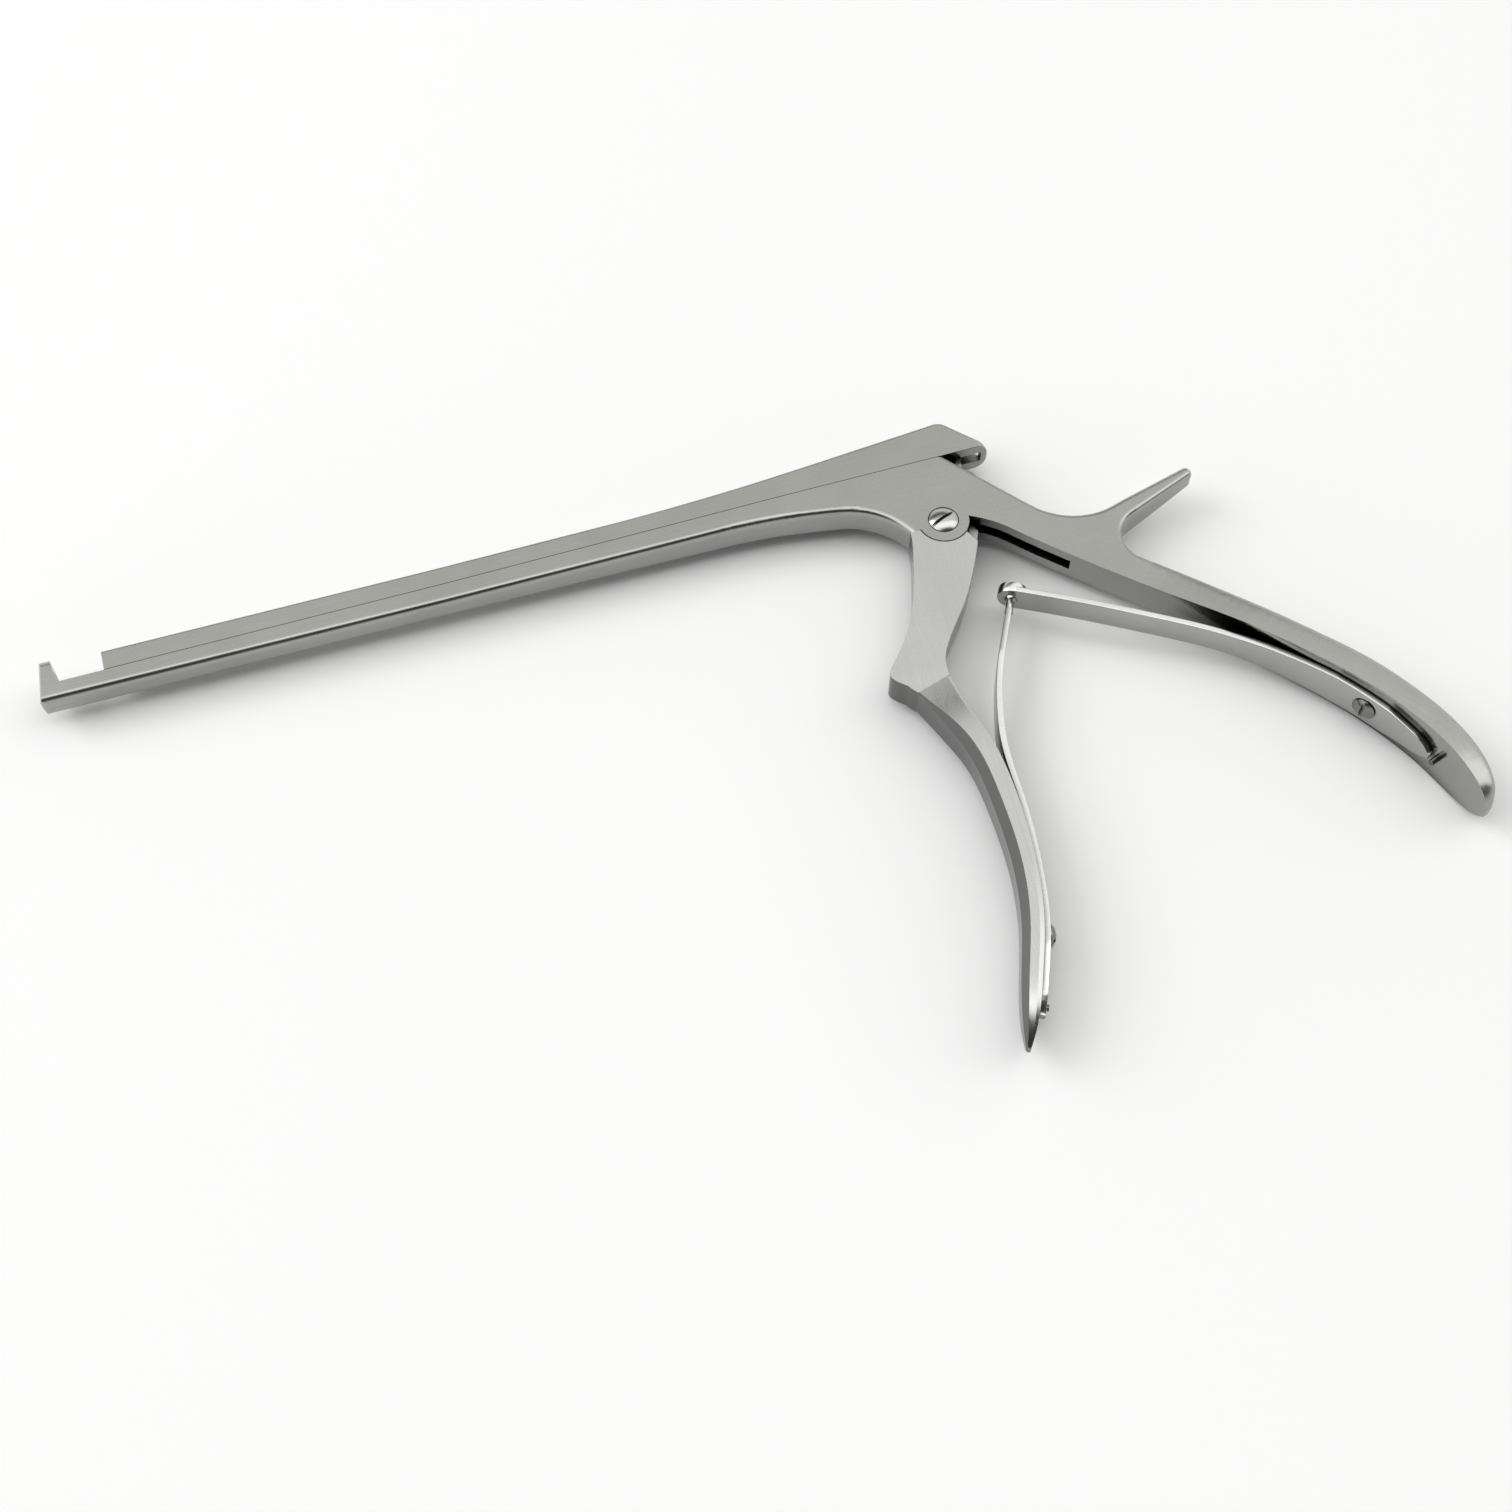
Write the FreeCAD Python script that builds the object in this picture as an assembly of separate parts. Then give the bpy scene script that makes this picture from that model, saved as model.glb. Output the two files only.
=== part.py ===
"""Bone rongeur: a bone punch with a sliding upper shaft, a trigger and a double leaf spring.

Every piece is drawn about the pivot: X runs along the shaft towards the handles, Y points to the
slider side, Z to the viewer's side. The finished set is moved so that it lies on its side, with the
origin below the middle of its box. All sizes are in millimetres.
"""
import FreeCAD, Part
import math
import os
from FreeCAD import Vector

# Shaft, measured from the pivot
seam_height = 16.0
tip_reach = 188.15
shaft_depth_front = 3.9
shaft_depth_rear = 4.9
shaft_width = 5.6
body_width = 7.4
width_change_start = -105.0
width_change_end = -28.0
shaft_edge_radius = 1.4

# Jaw
mouth_opening = 9.4
footplate_base = 4.5
footplate_height = 6.7
footplate_lean = 1.1
footplate_inner_radius = 0.4
footplate_outer_radius = 1.6
footplate_flank_height = 3.9
nose_lean = 1.0
nose_radius = 4.7
nose_skim = 0.04
toe_radius = 2.0
corner_overlap = 0.05
cup_radius = 3.7
cup_depth = 0.5
cup_rim = 0.35
cup_height = 2.7

# Slider
slider_height_front = 4.75
slider_height_waist = 4.4
slider_waist_x = -70.0
slider_rise_radius = 540.0
slider_rise_angle = 5.0
slider_peak_x = 8.0
slider_rear_x = 16.0
slider_peak_radius = 3.2
slider_rear_corner = 2.8
slider_edge_radius = 0.6
slide_gap = 0.05
slider_travel = 9.3

# Guide rail under the slider
rail_start = -165.0
rail_end = -12.0
rail_stem_width = 1.6
rail_head_width = 3.0
rail_stem_height = 1.1
rail_head_height = 0.9
rail_gap = 0.08

# Body and lever slot
boss_radius = 5.44
boss_gap = 0.08
shoulder_drop = 1.0
shoulder_reach = 7.7
shoulder_gap = 0.06
body_top_x = 5.9
lever_slot_width = 2.8
tongue_gap = 0.1
arch_start_x = -46.0
arch_middle = (-20.0, 8.4)
rear_slope_angle = -52.6
saddle_radius = 15.0
throat_radius = 6.3
spur_tip = (54.4, -2.55)
spur_tip_radius = 1.33
spur_angle = 19.4
spur_taper_angle = 2.95
spur_side_taper = 4.2
spur_side_length = 16.0
back_edge_radius = 1.2

# Trigger
blade_corner = (6.8, -3.2)
lever_angle = 25.2
lever_width = 4.8
lever_foot_width = 8.4
lever_end_margin = 0.8
closing_angle = 28.8
bevel_depth = 1.3
bevel_clearance = 0.3

# Drive pin in the slider
drive_pin_diameter = 1.8
drive_pin_height = 1.4
fork_gap = 0.3
pocket_gap = 0.75
pocket_rear_x = 14.7

# Pivot screw
screw_shank_diameter = 3.5
screw_thread_diameter = 3.0
screw_head_diameter = 6.1
screw_head_seat = 0.8
screw_head_dome = 0.9
screw_slot_width = 0.7
screw_slot_depth = 0.9
screw_slot_angle = 20.0
running_gap = 0.05

# Double leaf spring
leaf_thickness = 1.3
leaf_seat_gap = 0.08
leaf_split_gap = 0.2
leaf_bow = 0.08
ball_diameter = 2.7
neck_diameter = 1.7
socket_diameter = 4.2
socket_depth = 1.9
socket_rim_thickness = 2.6
socket_rim_chamfer = 0.4
rear_leaf_end_radius = 3.1
spring_screw_head_diameter = 5.0
spring_screw_head_height = 1.3
spring_screw_head_edge = 0.2
spring_screw_slot_angle = 35.0
spring_screw_shank_diameter = 2.4
spring_screw_depth = 2.2
spring_screw_slot_width = 0.7
spring_screw_slot_depth = 0.7
leaf_hole_gap = 0.15
leaf_pin_diameter = 1.3
leaf_pin_depth = 1.8
leaf_pin_stand = 1.9

seat_gap = 0.01
corner_room = 3.0
beyond = 40.0


def vec(x, y, z=0.0):
    return Vector(x, y, z)


def line(start, end):
    return Part.makeLine(vec(*start), vec(*end))


def arc(start, middle, end):
    return Part.Arc(vec(*start), vec(*middle), vec(*end)).toShape()


def spline_curve(points, start_tangent=None, end_tangent=None):
    curve = Part.BSplineCurve()
    vectors = [vec(*point) for point in points]
    if start_tangent is None:
        curve.interpolate(vectors)
    else:
        curve.interpolate(
            Points=vectors,
            InitialTangent=vec(*start_tangent).normalize(),
            FinalTangent=vec(*end_tangent).normalize(),
        )
    return curve


def spline(points, start_tangent=None, end_tangent=None):
    return spline_curve(points, start_tangent, end_tangent).toShape()


def rounded_corner(before, corner, after, radius):
    """The two tangent points and the middle of the arc that rounds a corner."""
    corner = vec(*corner)
    to_before = (vec(*before) - corner).normalize()
    to_after = (vec(*after) - corner).normalize()
    half_angle = to_before.getAngle(to_after) / 2
    reach = radius / math.tan(half_angle)
    bisector = (to_before + to_after).normalize()
    middle = corner + bisector * (radius / math.sin(half_angle) - radius)
    first = corner + to_before * reach
    last = corner + to_after * reach
    return (first.x, first.y), (middle.x, middle.y), (last.x, last.y)


def prism(edges, low, high):
    """A closed outline in XY, made solid from one height to another."""
    outline = Part.Wire(Part.__sortEdges__(edges))
    face = Part.Face(outline)
    face.translate(vec(0, 0, low))
    return face.extrude(vec(0, 0, high - low))


def slab(edges, width):
    return prism(edges, -width / 2, width / 2)


def polygon_slab(points, width):
    edges = [line(points[i - 1], points[i]) for i in range(len(points))]
    return slab(edges, width)


def rod(centre, direction, radius, start, length):
    """A cylinder whose foot stands off its centre by start along its direction."""
    foot = centre + direction * start
    return Part.makeCylinder(radius, length, foot, direction)


def edges_where(shape, test):
    chosen = []
    for edge in shape.Edges:
        middle = edge.valueAt((edge.FirstParameter + edge.LastParameter) / 2)
        ends = [vertex.Point for vertex in edge.Vertexes]
        if test(middle, ends):
            chosen.append(edge)
    return chosen


def shaft_plan(rear_x, rear_corner):
    """The outline seen from above the shaft: narrow in front, wider at the body."""
    front = shaft_width / 2
    rear = body_width / 2
    front_x = -tip_reach - 1.0
    corner = rounded_corner((width_change_end, rear), (rear_x, rear), (rear_x, 0.0), rear_corner)
    side = [
        line((front_x, front), (width_change_start, front)),
        line((width_change_start, front), (width_change_end, rear)),
        line((width_change_end, rear), corner[0]),
        arc(*corner),
        line(corner[2], (rear_x, 0.0)),
    ]
    other_side = [edge.mirror(vec(0, 0), vec(0, 1)) for edge in side]
    front_end = line((front_x, front), (front_x, -front))
    plan = prism(side + other_side + [front_end], -beyond, beyond)
    plan.rotate(vec(0, 0), vec(1, 0), 90)
    return plan


def heading(degrees):
    """Unit vector at an angle from the X axis."""
    angle = math.radians(degrees)
    return vec(math.cos(angle), math.sin(angle))


def crossing(first_point, first_angle, second_point, second_angle):
    """Where two lines, each given by a point and an angle, meet."""
    first = heading(first_angle)
    second = heading(second_angle)
    apart = vec(*second_point) - vec(*first_point)
    reach = (apart.x * second.y - apart.y * second.x) / (first.x * second.y - first.y * second.x)
    meet = vec(*first_point) + first * reach
    return (meet.x, meet.y)


def tangent_arc(start, angle, end):
    """Arc that leaves start at an angle and reaches end, and its angle there."""
    chord = vec(*end) - vec(*start)
    chord_angle = math.degrees(math.atan2(chord.y, chord.x))
    half_turn = math.radians(chord_angle - angle)
    sagitta = chord.Length / 2 * math.tan(half_turn / 2)
    middle = vec(*start) + chord * 0.5 + heading(chord_angle - 90) * sagitta
    return arc(start, (middle.x, middle.y), end), 2 * chord_angle - angle


def spur_side(side):
    """A point and the angle of the spur's upper (+1) or lower (-1) line."""
    angle = spur_angle - side * spur_taper_angle
    point = vec(*spur_tip) + heading(angle + side * 90) * spur_tip_radius
    return (point.x, point.y), angle


def back_curve_edges():
    """Rear slope, saddle, spur and throat of the body, down to the rear handle."""
    slope_start = (body_top_x, seam_height)
    top_point, top_angle = spur_side(1)
    bottom_point, bottom_angle = spur_side(-1)
    saddle_corner = crossing(slope_start, rear_slope_angle, top_point, top_angle)
    saddle = rounded_corner(slope_start, saddle_corner, top_point, saddle_radius)
    tip_end = vec(*spur_tip) + heading(spur_angle) * spur_tip_radius
    throat_corner = crossing(bottom_point, bottom_angle, handle_back, -45.0)
    throat = rounded_corner(bottom_point, throat_corner, handle_back, throat_radius)
    return [
        line(slope_start, saddle[0]),
        arc(*saddle),
        line(saddle[2], top_point),
        arc(top_point, (tip_end.x, tip_end.y), bottom_point),
        line(bottom_point, throat[0]),
        arc(*throat),
        line(throat[2], handle_back),
    ]


def spur_flank():
    """Slices the spur's sides so that it narrows towards its tip."""
    drop = spur_side_length * 2 * math.tan(math.radians(spur_side_taper))
    half = body_width / 2
    length = spur_side_length * 2
    low = -6.0
    profile = [
        vec(0, low, half),
        vec(length, low, half - drop),
        vec(length, low, half + drop),
        vec(0, low, half + drop),
    ]
    wedge = Part.Face(Part.makePolygon(profile + profile[:1])).extrude(vec(0, 12.0, 0))
    wedge.rotate(vec(0, 0), vec(0, 0, 1), spur_angle)
    wedge.translate(vec(*spur_tip) - heading(spur_angle) * spur_side_length)
    return wedge, wedge.mirror(vec(0, 0), vec(0, 0, 1))


def underside_edges():
    """Body underside from the boss to the start of the rear handle."""
    boss_end_angle = math.radians(-5.8)
    boss_end = (boss_radius * math.cos(boss_end_angle), boss_radius * math.sin(boss_end_angle))
    underside = [boss_end, (9.9, -3.5), (15.2, -9.0), (20.9, -15.0), (28.3, -22.5), handle_root]
    return boss_end, [spline(underside, (0.86, -0.51), (0.71, -0.7))]


handle_root = (33.6, -27.6)
handle_back = (38.25, -22.95)

# Rear handle: inner face points with half width, depth and squareness of the back (1 square, 0 round)
handle_stations = [
    (handle_root, 3.73, 6.52, 1.0),
    ((38.4, -32.4), 4.0, 6.5, 0.9),
    ((44.2, -38.4), 4.75, 6.3, 0.7),
    ((50.7, -45.4), 5.5, 6.3, 0.5),
    ((57.7, -53.7), 6.05, 6.5, 0.35),
    ((64.3, -62.1), 6.3, 6.8, 0.25),
    ((69.9, -71.0), 6.4, 6.7, 0.2),
    ((73.9, -79.5), 6.4, 6.4, 0.2),
    ((76.0, -86.2), 6.1, 5.7, 0.2),
    ((77.0, -90.6), 5.2, 4.7, 0.2),
    ((77.55, -93.8), 3.7, 3.2, 0.2),
    ((77.85, -96.0), 1.2, 1.0, 0.2),
]

grip_half_width = 5.8

# Trigger grip: back face and front face points with half width, facet width and facet depth
grip_stations = [
    ((-12.0, -36.6), (-19.4, -38.8), 3.72, 0.3, 0.2),
    ((-11.7, -40.4), (-18.1, -42.6), 4.3, 1.1, 0.55),
    ((-11.0, -45.8), (-16.4, -47.6), 5.2, 2.1, 1.0),
    ((-9.8, -53.0), (-14.6, -54.0), 5.75, 2.9, 1.2),
    ((-9.3, -66.0), (-13.9, -65.8), grip_half_width, 3.15, 1.25),
    ((-10.8, -80.0), (-14.8, -79.1), grip_half_width, 3.3, 1.3),
    ((-14.6, -95.0), (-18.2, -93.4), grip_half_width, 3.3, 1.3),
    ((-18.9, -105.1), (-22.1, -103.3), 5.5, 3.1, 1.2),
    ((-22.4, -112.3), (-24.6, -111.0), 3.9, 2.2, 0.8),
    ((-24.7, -115.6), (-25.5, -115.1), 1.1, 0.6, 0.3),
]
grip_edge_width = 0.9
grip_edge_drop = 0.35



def distances_along(points):
    """Distance travelled at each of a row of points, in straight steps."""
    travelled = [0.0]
    for before, after in zip(points, points[1:]):
        travelled.append(travelled[-1] + (vec(*after) - vec(*before)).Length)
    return travelled


def smooth_through(places, travelled, first_heading=None):
    """Curve through points at given distances, with an optional direction at its start."""
    curve = Part.BSplineCurve()
    if first_heading is None:
        curve.interpolate(Points=places, Parameters=travelled)
    else:
        curve.interpolate(
            Points=places,
            Parameters=travelled,
            Tangents=[first_heading] * len(places),
            TangentFlags=[index == 0 for index in range(len(places))],
        )
    return curve


def guide(stations, first_heading=None):
    points = [station[0] for station in stations]
    return smooth_through([vec(*point) for point in points], distances_along(points), first_heading)


handle_heading = heading(-45.0)
handle_face = guide(handle_stations, handle_heading)
grip_face = guide(grip_stations)


def curve_frame(curve, point):
    """Point on a curve nearest to the given one, its tangent and its normal in the plane."""
    parameter = curve.parameter(vec(*point))
    foot = curve.value(parameter)
    tangent = curve.tangent(parameter)[0]
    normal = vec(-tangent.y, tangent.x)
    return foot, tangent, normal


def handle_section(station):
    """Corner, poles of the rounded back and the other corner of a section across the handle."""
    point, half_width, depth, squareness = station
    foot, _, normal = curve_frame(handle_face, point)
    square = [(1.0, 0.0), (1.0, 0.45), (1.0, 0.93), (0.88, 1.0), (0.42, 1.0), (0.0, 1.0)]
    round_back = [(1.0, 0.0), (1.0, 0.32), (0.94, 0.74), (0.72, 0.98), (0.34, 1.0), (0.0, 1.0)]
    poles = []
    for squared, rounded in zip(square, round_back):
        across = squared[0] * squareness + rounded[0] * (1 - squareness)
        out = squared[1] * squareness + rounded[1] * (1 - squareness)
        poles.append((half_width * across, depth * out))
    outline = poles + [(-across, out) for across, out in reversed(poles[:-1])]
    return [foot + normal * out + vec(0, 0, across) for across, out in outline]


def grip_section(station):
    """Corners of the back face with bevelled edges, two sides, two facets and a narrow front face."""
    back, front, half_width, facet_width, facet_depth = station
    back = vec(*back)
    front = vec(*front)
    forward = (front - back).normalize()
    scale = half_width / grip_half_width
    bevel = back + forward * (grip_edge_width * scale)
    crease = front - forward * facet_depth
    half = [
        back + vec(0, 0, half_width - grip_edge_drop * scale),
        bevel + vec(0, 0, half_width),
        crease + vec(0, 0, half_width),
        front + vec(0, 0, half_width - facet_width),
    ]
    return half + [vec(corner.x, corner.y, -corner.z) for corner in reversed(half)]


def even_knots(count, degree):
    """Knots and multiplicities of a clamped curve with so many poles."""
    spans = count - degree
    knots = [float(index) for index in range(spans + 1)]
    repeats = [degree + 1] + [1] * (spans - 1) + [degree + 1]
    return knots, repeats


def strip_face(curves, degree):
    """Surface across a row of lengthwise curves, used as its poles."""
    knots, repeats = even_knots(len(curves), degree)
    surface = Part.BSplineSurface()
    surface.buildFromPolesMultsKnots(
        [curve.getPoles() for curve in curves],
        repeats,
        curves[0].getMultiplicities(),
        knots,
        curves[0].getKnots(),
        False,
        False,
        degree,
        curves[0].Degree,
    )
    return surface.toShape()


def strip_end(poles, degree):
    """Edge across the end of a strip."""
    knots, repeats = even_knots(len(poles), degree)
    edge = Part.BSplineCurve()
    edge.buildFromPolesMultsKnots(poles, repeats, knots, False, degree)
    return edge.toShape()


def skinned(stations, sections, strips, first_heading=None):
    """Solid skinned over sections; a strip is the section points that one face spans, and its degree."""
    travelled = distances_along([station[0] for station in stations])
    curves = [smooth_through(list(column), travelled, first_heading) for column in zip(*sections)]
    faces = [strip_face([curves[index] for index in picks], degree) for picks, degree in strips]
    for section in (sections[0], sections[-1]):
        rim = [strip_end([section[index] for index in picks], degree) for picks, degree in strips]
        faces.append(Part.Face(Part.Wire(rim)))
    shell = Part.Compound(faces)
    shell.sewShape()
    return Part.Solid(shell.Shells[0])


def rear_handle():
    sections = [handle_section(station) for station in handle_stations]
    last = len(sections[0]) - 1
    back = (list(range(last + 1)), 3)
    inner_face = ([last, 0], 1)
    return skinned(handle_stations, sections, [back, inner_face], handle_heading)


def trigger_grip():
    sections = [grip_section(station) for station in grip_stations]
    count = len(sections[0])
    flats = [([index, (index + 1) % count], 1) for index in range(count)]
    return skinned(grip_stations, sections, flats)


def lever_slot():
    """The room for the lever between the two cheeks, open above, behind and below."""
    top = seam_height + 3.0
    outline = [
        (-6.0, -9.0),
        (-6.0, 2.5),
        (-4.0, 9.0),
        (-4.0, top),
        (14.0, top),
        (13.2, 7.5),
        (10.6, 3.0),
        (26.2, -12.6),
        (21.0, -18.0),
    ]
    return polygon_slab(outline, lever_slot_width)


def guide_slot():
    """T-shaped groove along the top of the lower shaft."""
    front = rail_start - slider_travel - 1.0
    length = -4.0 - front
    stem = rail_stem_width + 2 * rail_gap
    head = rail_head_width + 2 * rail_gap
    stem_depth = slide_gap_below(rail_stem_height) - 2 * rail_gap
    head_depth = slide_gap_below(rail_stem_height + rail_head_height) + rail_gap
    neck = Part.makeBox(length, head_depth, stem, vec(front, seam_height - head_depth, -stem / 2))
    room = Part.makeBox(
        length, head_depth - stem_depth, head, vec(front, seam_height - head_depth, -head / 2)
    )
    mouth = Part.makeBox(length, 1.0, stem, vec(front, seam_height - 0.5, -stem / 2))
    return neck.fuse(room).fuse(mouth)


def slide_gap_below(height):
    """Depth below the seam of something that hangs from the slider's underside."""
    return height - slide_gap


def guide_rail():
    """T-shaped rail under the slider."""
    length = rail_end - rail_start
    underside = seam_height + slide_gap
    depth = rail_stem_height + rail_head_height
    stem = Part.makeBox(
        length, depth + 0.5, rail_stem_width, vec(rail_start, underside - depth, -rail_stem_width / 2)
    )
    head = Part.makeBox(
        length, rail_head_height, rail_head_width, vec(rail_start, underside - depth, -rail_head_width / 2)
    )
    return stem.fuse(head)


def jaw_cup(face_x, side):
    """Shallow dish ground into one of the two jaw faces, clear of the seam."""
    centre_x = face_x + side * (cup_radius - cup_depth)
    ball = Part.makeSphere(cup_radius, vec(centre_x, seam_height + cup_height, 0))
    low = vec(face_x - 1.5, seam_height + cup_rim, -beyond)
    return ball.common(Part.makeBox(3.0, footplate_height, 2 * beyond, low))


def frame_solid():
    """Lower shaft with footplate, body with two cheeks, spur and rear handle, in one forging."""
    seam = seam_height
    plate_base = (-tip_reach + footplate_base, seam)
    plate_inner_top = (plate_base[0] - footplate_lean, seam + footplate_height)
    plate_outer_top = (-tip_reach + nose_lean, seam + footplate_height)
    toe = (-tip_reach, seam - shaft_depth_front)
    inner_crown = rounded_corner(plate_base, plate_inner_top, plate_outer_top, footplate_inner_radius)
    outer_crown = rounded_corner(plate_inner_top, plate_outer_top, toe, footplate_outer_radius)
    shaft_angle = math.degrees(math.atan2(shaft_depth_front - shaft_depth_rear, arch_start_x - toe[0]))
    arch_start = (arch_start_x, seam - shaft_depth_rear)
    first_arch, arch_angle = tangent_arc(arch_start, shaft_angle, arch_middle)
    shoulder = (-shoulder_reach, -shoulder_drop)
    boss_start = (-math.sqrt(boss_radius ** 2 - shoulder_drop ** 2), -shoulder_drop)
    second_arch = tangent_arc(arch_middle, arch_angle, shoulder)[0]
    boss_end, underside = underside_edges()
    outline = [
        line((body_top_x, seam), plate_base),
        line(plate_base, inner_crown[0]),
        arc(*inner_crown),
        line(inner_crown[2], outer_crown[0]),
        arc(*outer_crown),
        line(outer_crown[2], toe),
        line(toe, arch_start),
        first_arch,
        second_arch,
        line(shoulder, boss_start),
        arc(boss_start, (0.0, -boss_radius), boss_end),
    ]
    outline += underside
    outline.append(line(handle_root, handle_back))
    outline += back_curve_edges()
    body = slab(outline, 2 * beyond)
    body = body.common(shaft_plan(70.0, 1.0))
    for wedge in spur_flank():
        body = body.cut(wedge)
    body = body.makeFillet(back_edge_radius, edges_where(body, on_back_edge))
    body = body.makeFillet(shaft_edge_radius, edges_where(body, on_shaft_bottom_edge))
    for cutter in (toe_cutter(), footplate_cutter(), nose_cutter()):
        body = body.cut(cutter)
    core = polygon_slab([(32.5, -25.1), (35.6, -22.0), (39.5, -25.9), (36.4, -29.0)], body_width - 1.2)
    frame = body.fuse(core).fuse(rear_handle())
    frame = frame.cut(guide_slot())
    frame = frame.cut(lever_slot())
    frame = frame.cut(jaw_cup(plate_base[0] - footplate_lean / 2, 1))
    frame = frame.cut(rod(vec(0, 0), vec(0, 0, 1), screw_shank_diameter / 2 + seat_gap, 0.0, beyond))
    frame = frame.cut(rod(vec(0, 0), vec(0, 0, -1), screw_thread_diameter / 2 + seat_gap, 0.0, beyond))
    head_seat = body_width / 2 - screw_head_seat
    frame = frame.cut(
        rod(vec(0, 0), vec(0, 0, 1), screw_head_diameter / 2 + running_gap, head_seat, beyond)
    )
    for place in (rear_screw_place(), rear_pin_place()):
        frame = frame.cut(place)
    return frame


def toe_cutter():
    """Rounds the toe below the footplate."""
    bottom = seam_height - shaft_depth_front
    low_corner = vec(-tip_reach - toe_radius, bottom - toe_radius, -beyond)
    corner = Part.makeBox(2 * toe_radius, 2 * toe_radius, 2 * beyond, low_corner)
    centre = vec(-tip_reach + toe_radius, bottom + toe_radius, -beyond)
    return corner.cut(Part.makeCylinder(toe_radius + corner_overlap, 2 * beyond, centre))


def footplate_cutter():
    """Rounds the top of the footplate, seen along the shaft, to a half circle."""
    radius = shaft_width / 2
    low = seam_height + footplate_flank_height
    length = footplate_base + 2 * corner_room
    front_x = -tip_reach - corner_room
    block = Part.makeBox(length, beyond, 2 * beyond, vec(front_x, low, -beyond))
    crown = Part.makeCylinder(radius + corner_overlap, length, vec(front_x, low, 0), vec(1, 0, 0))
    return block.cut(crown)


def nose_cutter():
    """Rounds the front of the footplate, seen from above the shaft."""
    lean = vec(nose_lean, footplate_height + shaft_depth_front).normalize()
    foot = vec(-tip_reach, seam_height - shaft_depth_front)
    low_corner = vec(-tip_reach - corner_room, foot.y - corner_room, -beyond)
    block = Part.makeBox(corner_room + footplate_base / 2, beyond, 2 * beyond, low_corner)
    axis_foot = foot + vec(nose_radius + nose_skim, 0) - lean * beyond
    return block.cut(Part.makeCylinder(nose_radius, 3 * beyond, axis_foot, lean))


def on_back_edge(middle, ends):
    """Side edges of the spur's lower line, its tip, the throat and the start of the handle's back."""
    lower = max(spur_line_height(end) for end in ends) < 0.05
    flat = abs(ends[0].z - ends[-1].z) < 3.0 and abs(middle.z) > 1.0
    rear = all(end.x > 33.0 and end.y > handle_back[1] - 0.25 for end in ends) and middle.y < 0.0
    tip = all(end.x > spur_tip[0] - 1.0 for end in ends) and middle.x > spur_tip[0]
    return flat and rear and (lower or tip) and middle.x > 34.0 and not on_joint_line(middle)


def spur_line_height(point):
    """Height of a point above the line along the spur's underside."""
    bottom_point, bottom_angle = spur_side(-1)
    apart = vec(point.x, point.y) - vec(*bottom_point)
    return apart.dot(heading(bottom_angle + 90))


def on_joint_line(middle):
    """True on the line where the body ends and the handle starts."""
    apart = vec(middle.x, middle.y) - vec(*handle_root)
    return abs(apart.dot(heading(-45.0))) < 0.05


def on_shaft_bottom_edge(middle, ends):
    beside = abs(middle.z) > shaft_width / 2 - 0.01
    below = middle.y < seam_height - shaft_depth_front + 1.5
    along = middle.x < -8.0 and all(end.x < -7.0 for end in ends)
    lengthwise = abs(ends[0].x - ends[-1].x) > 3.0
    return beside and below and along and lengthwise


def slider_solid():
    """Upper shaft with its sloping head, guide rail, lever pocket and drive pin hole."""
    bottom = seam_height + slide_gap
    front_x = -tip_reach + footplate_base + mouth_opening
    front_top = (front_x, seam_height + slider_height_front)
    waist = (slider_waist_x, seam_height + slider_height_waist)
    waist_angle = math.degrees(math.atan2(waist[1] - front_top[1], waist[0] - front_top[0]))
    turn_centre = vec(*waist) + heading(waist_angle + 90) * slider_rise_radius
    half_turn = turn_centre + heading((waist_angle + slider_rise_angle) / 2 - 90) * slider_rise_radius
    shoulder = turn_centre + heading(slider_rise_angle - 90) * slider_rise_radius
    rise = (slider_peak_x - shoulder.x) * math.tan(math.radians(slider_rise_angle))
    peak = (slider_peak_x, shoulder.y + rise)
    rear = (slider_rear_x, bottom)
    corner = rounded_corner((shoulder.x, shoulder.y), peak, rear, slider_peak_radius)
    outline = [
        line((front_x, bottom), front_top),
        line(front_top, waist),
        arc(waist, (half_turn.x, half_turn.y), (shoulder.x, shoulder.y)),
        line((shoulder.x, shoulder.y), corner[0]),
        arc(*corner),
        line(corner[2], rear),
        line(rear, (front_x, bottom)),
    ]
    slider = slab(outline, 2 * beyond)
    slider = slider.common(shaft_plan(slider_rear_x + slider_rear_corner, 1.0))
    slider = slider.makeFillet(slider_edge_radius, edges_where(slider, on_slider_top_edge))
    slider = slider.common(shaft_plan(slider_rear_x, slider_rear_corner))
    slider = slider.fuse(guide_rail())
    slider = slider.cut(jaw_cup(front_x, -1))
    slider = slider.cut(lever_pocket())
    return slider.cut(drive_pin_hole())


def on_slider_top_edge(middle, ends):
    beside = abs(middle.z) > shaft_width / 2 - 0.01
    front_x = -tip_reach + footplate_base + mouth_opening
    on_top = middle.y > seam_height + slider_height_waist - 0.3 and middle.x > front_x + 1.0
    return beside and on_top


def lever_reach():
    """Distance from the pivot to the drive pin when the slider is back."""
    return (seam_height + drive_pin_height) / math.cos(math.radians(lever_angle))


def drive_pin_x():
    return (seam_height + drive_pin_height) * math.tan(math.radians(lever_angle))


def lever_pocket():
    """Slot in the slider's underside that the lever's fork swings in."""
    roof = lever_reach() + lever_end_margin + 0.35
    front_x = drive_pin_x() - lever_width / 2 - pocket_gap - 1.3
    return Part.makeBox(
        pocket_rear_x - front_x,
        roof - seam_height + 3.0,
        lever_slot_width,
        vec(front_x, seam_height - 3.0, -lever_slot_width / 2),
    )


def drive_pin(extra=0.0):
    """Cross pin: flush on the far side, blind in the near wall."""
    length = body_width / 2 + lever_slot_width / 2 + 1.2
    foot = vec(drive_pin_x(), seam_height + drive_pin_height, -body_width / 2)
    return Part.makeCylinder(drive_pin_diameter / 2 + extra, length + extra, foot, vec(0, 0, 1))


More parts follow.
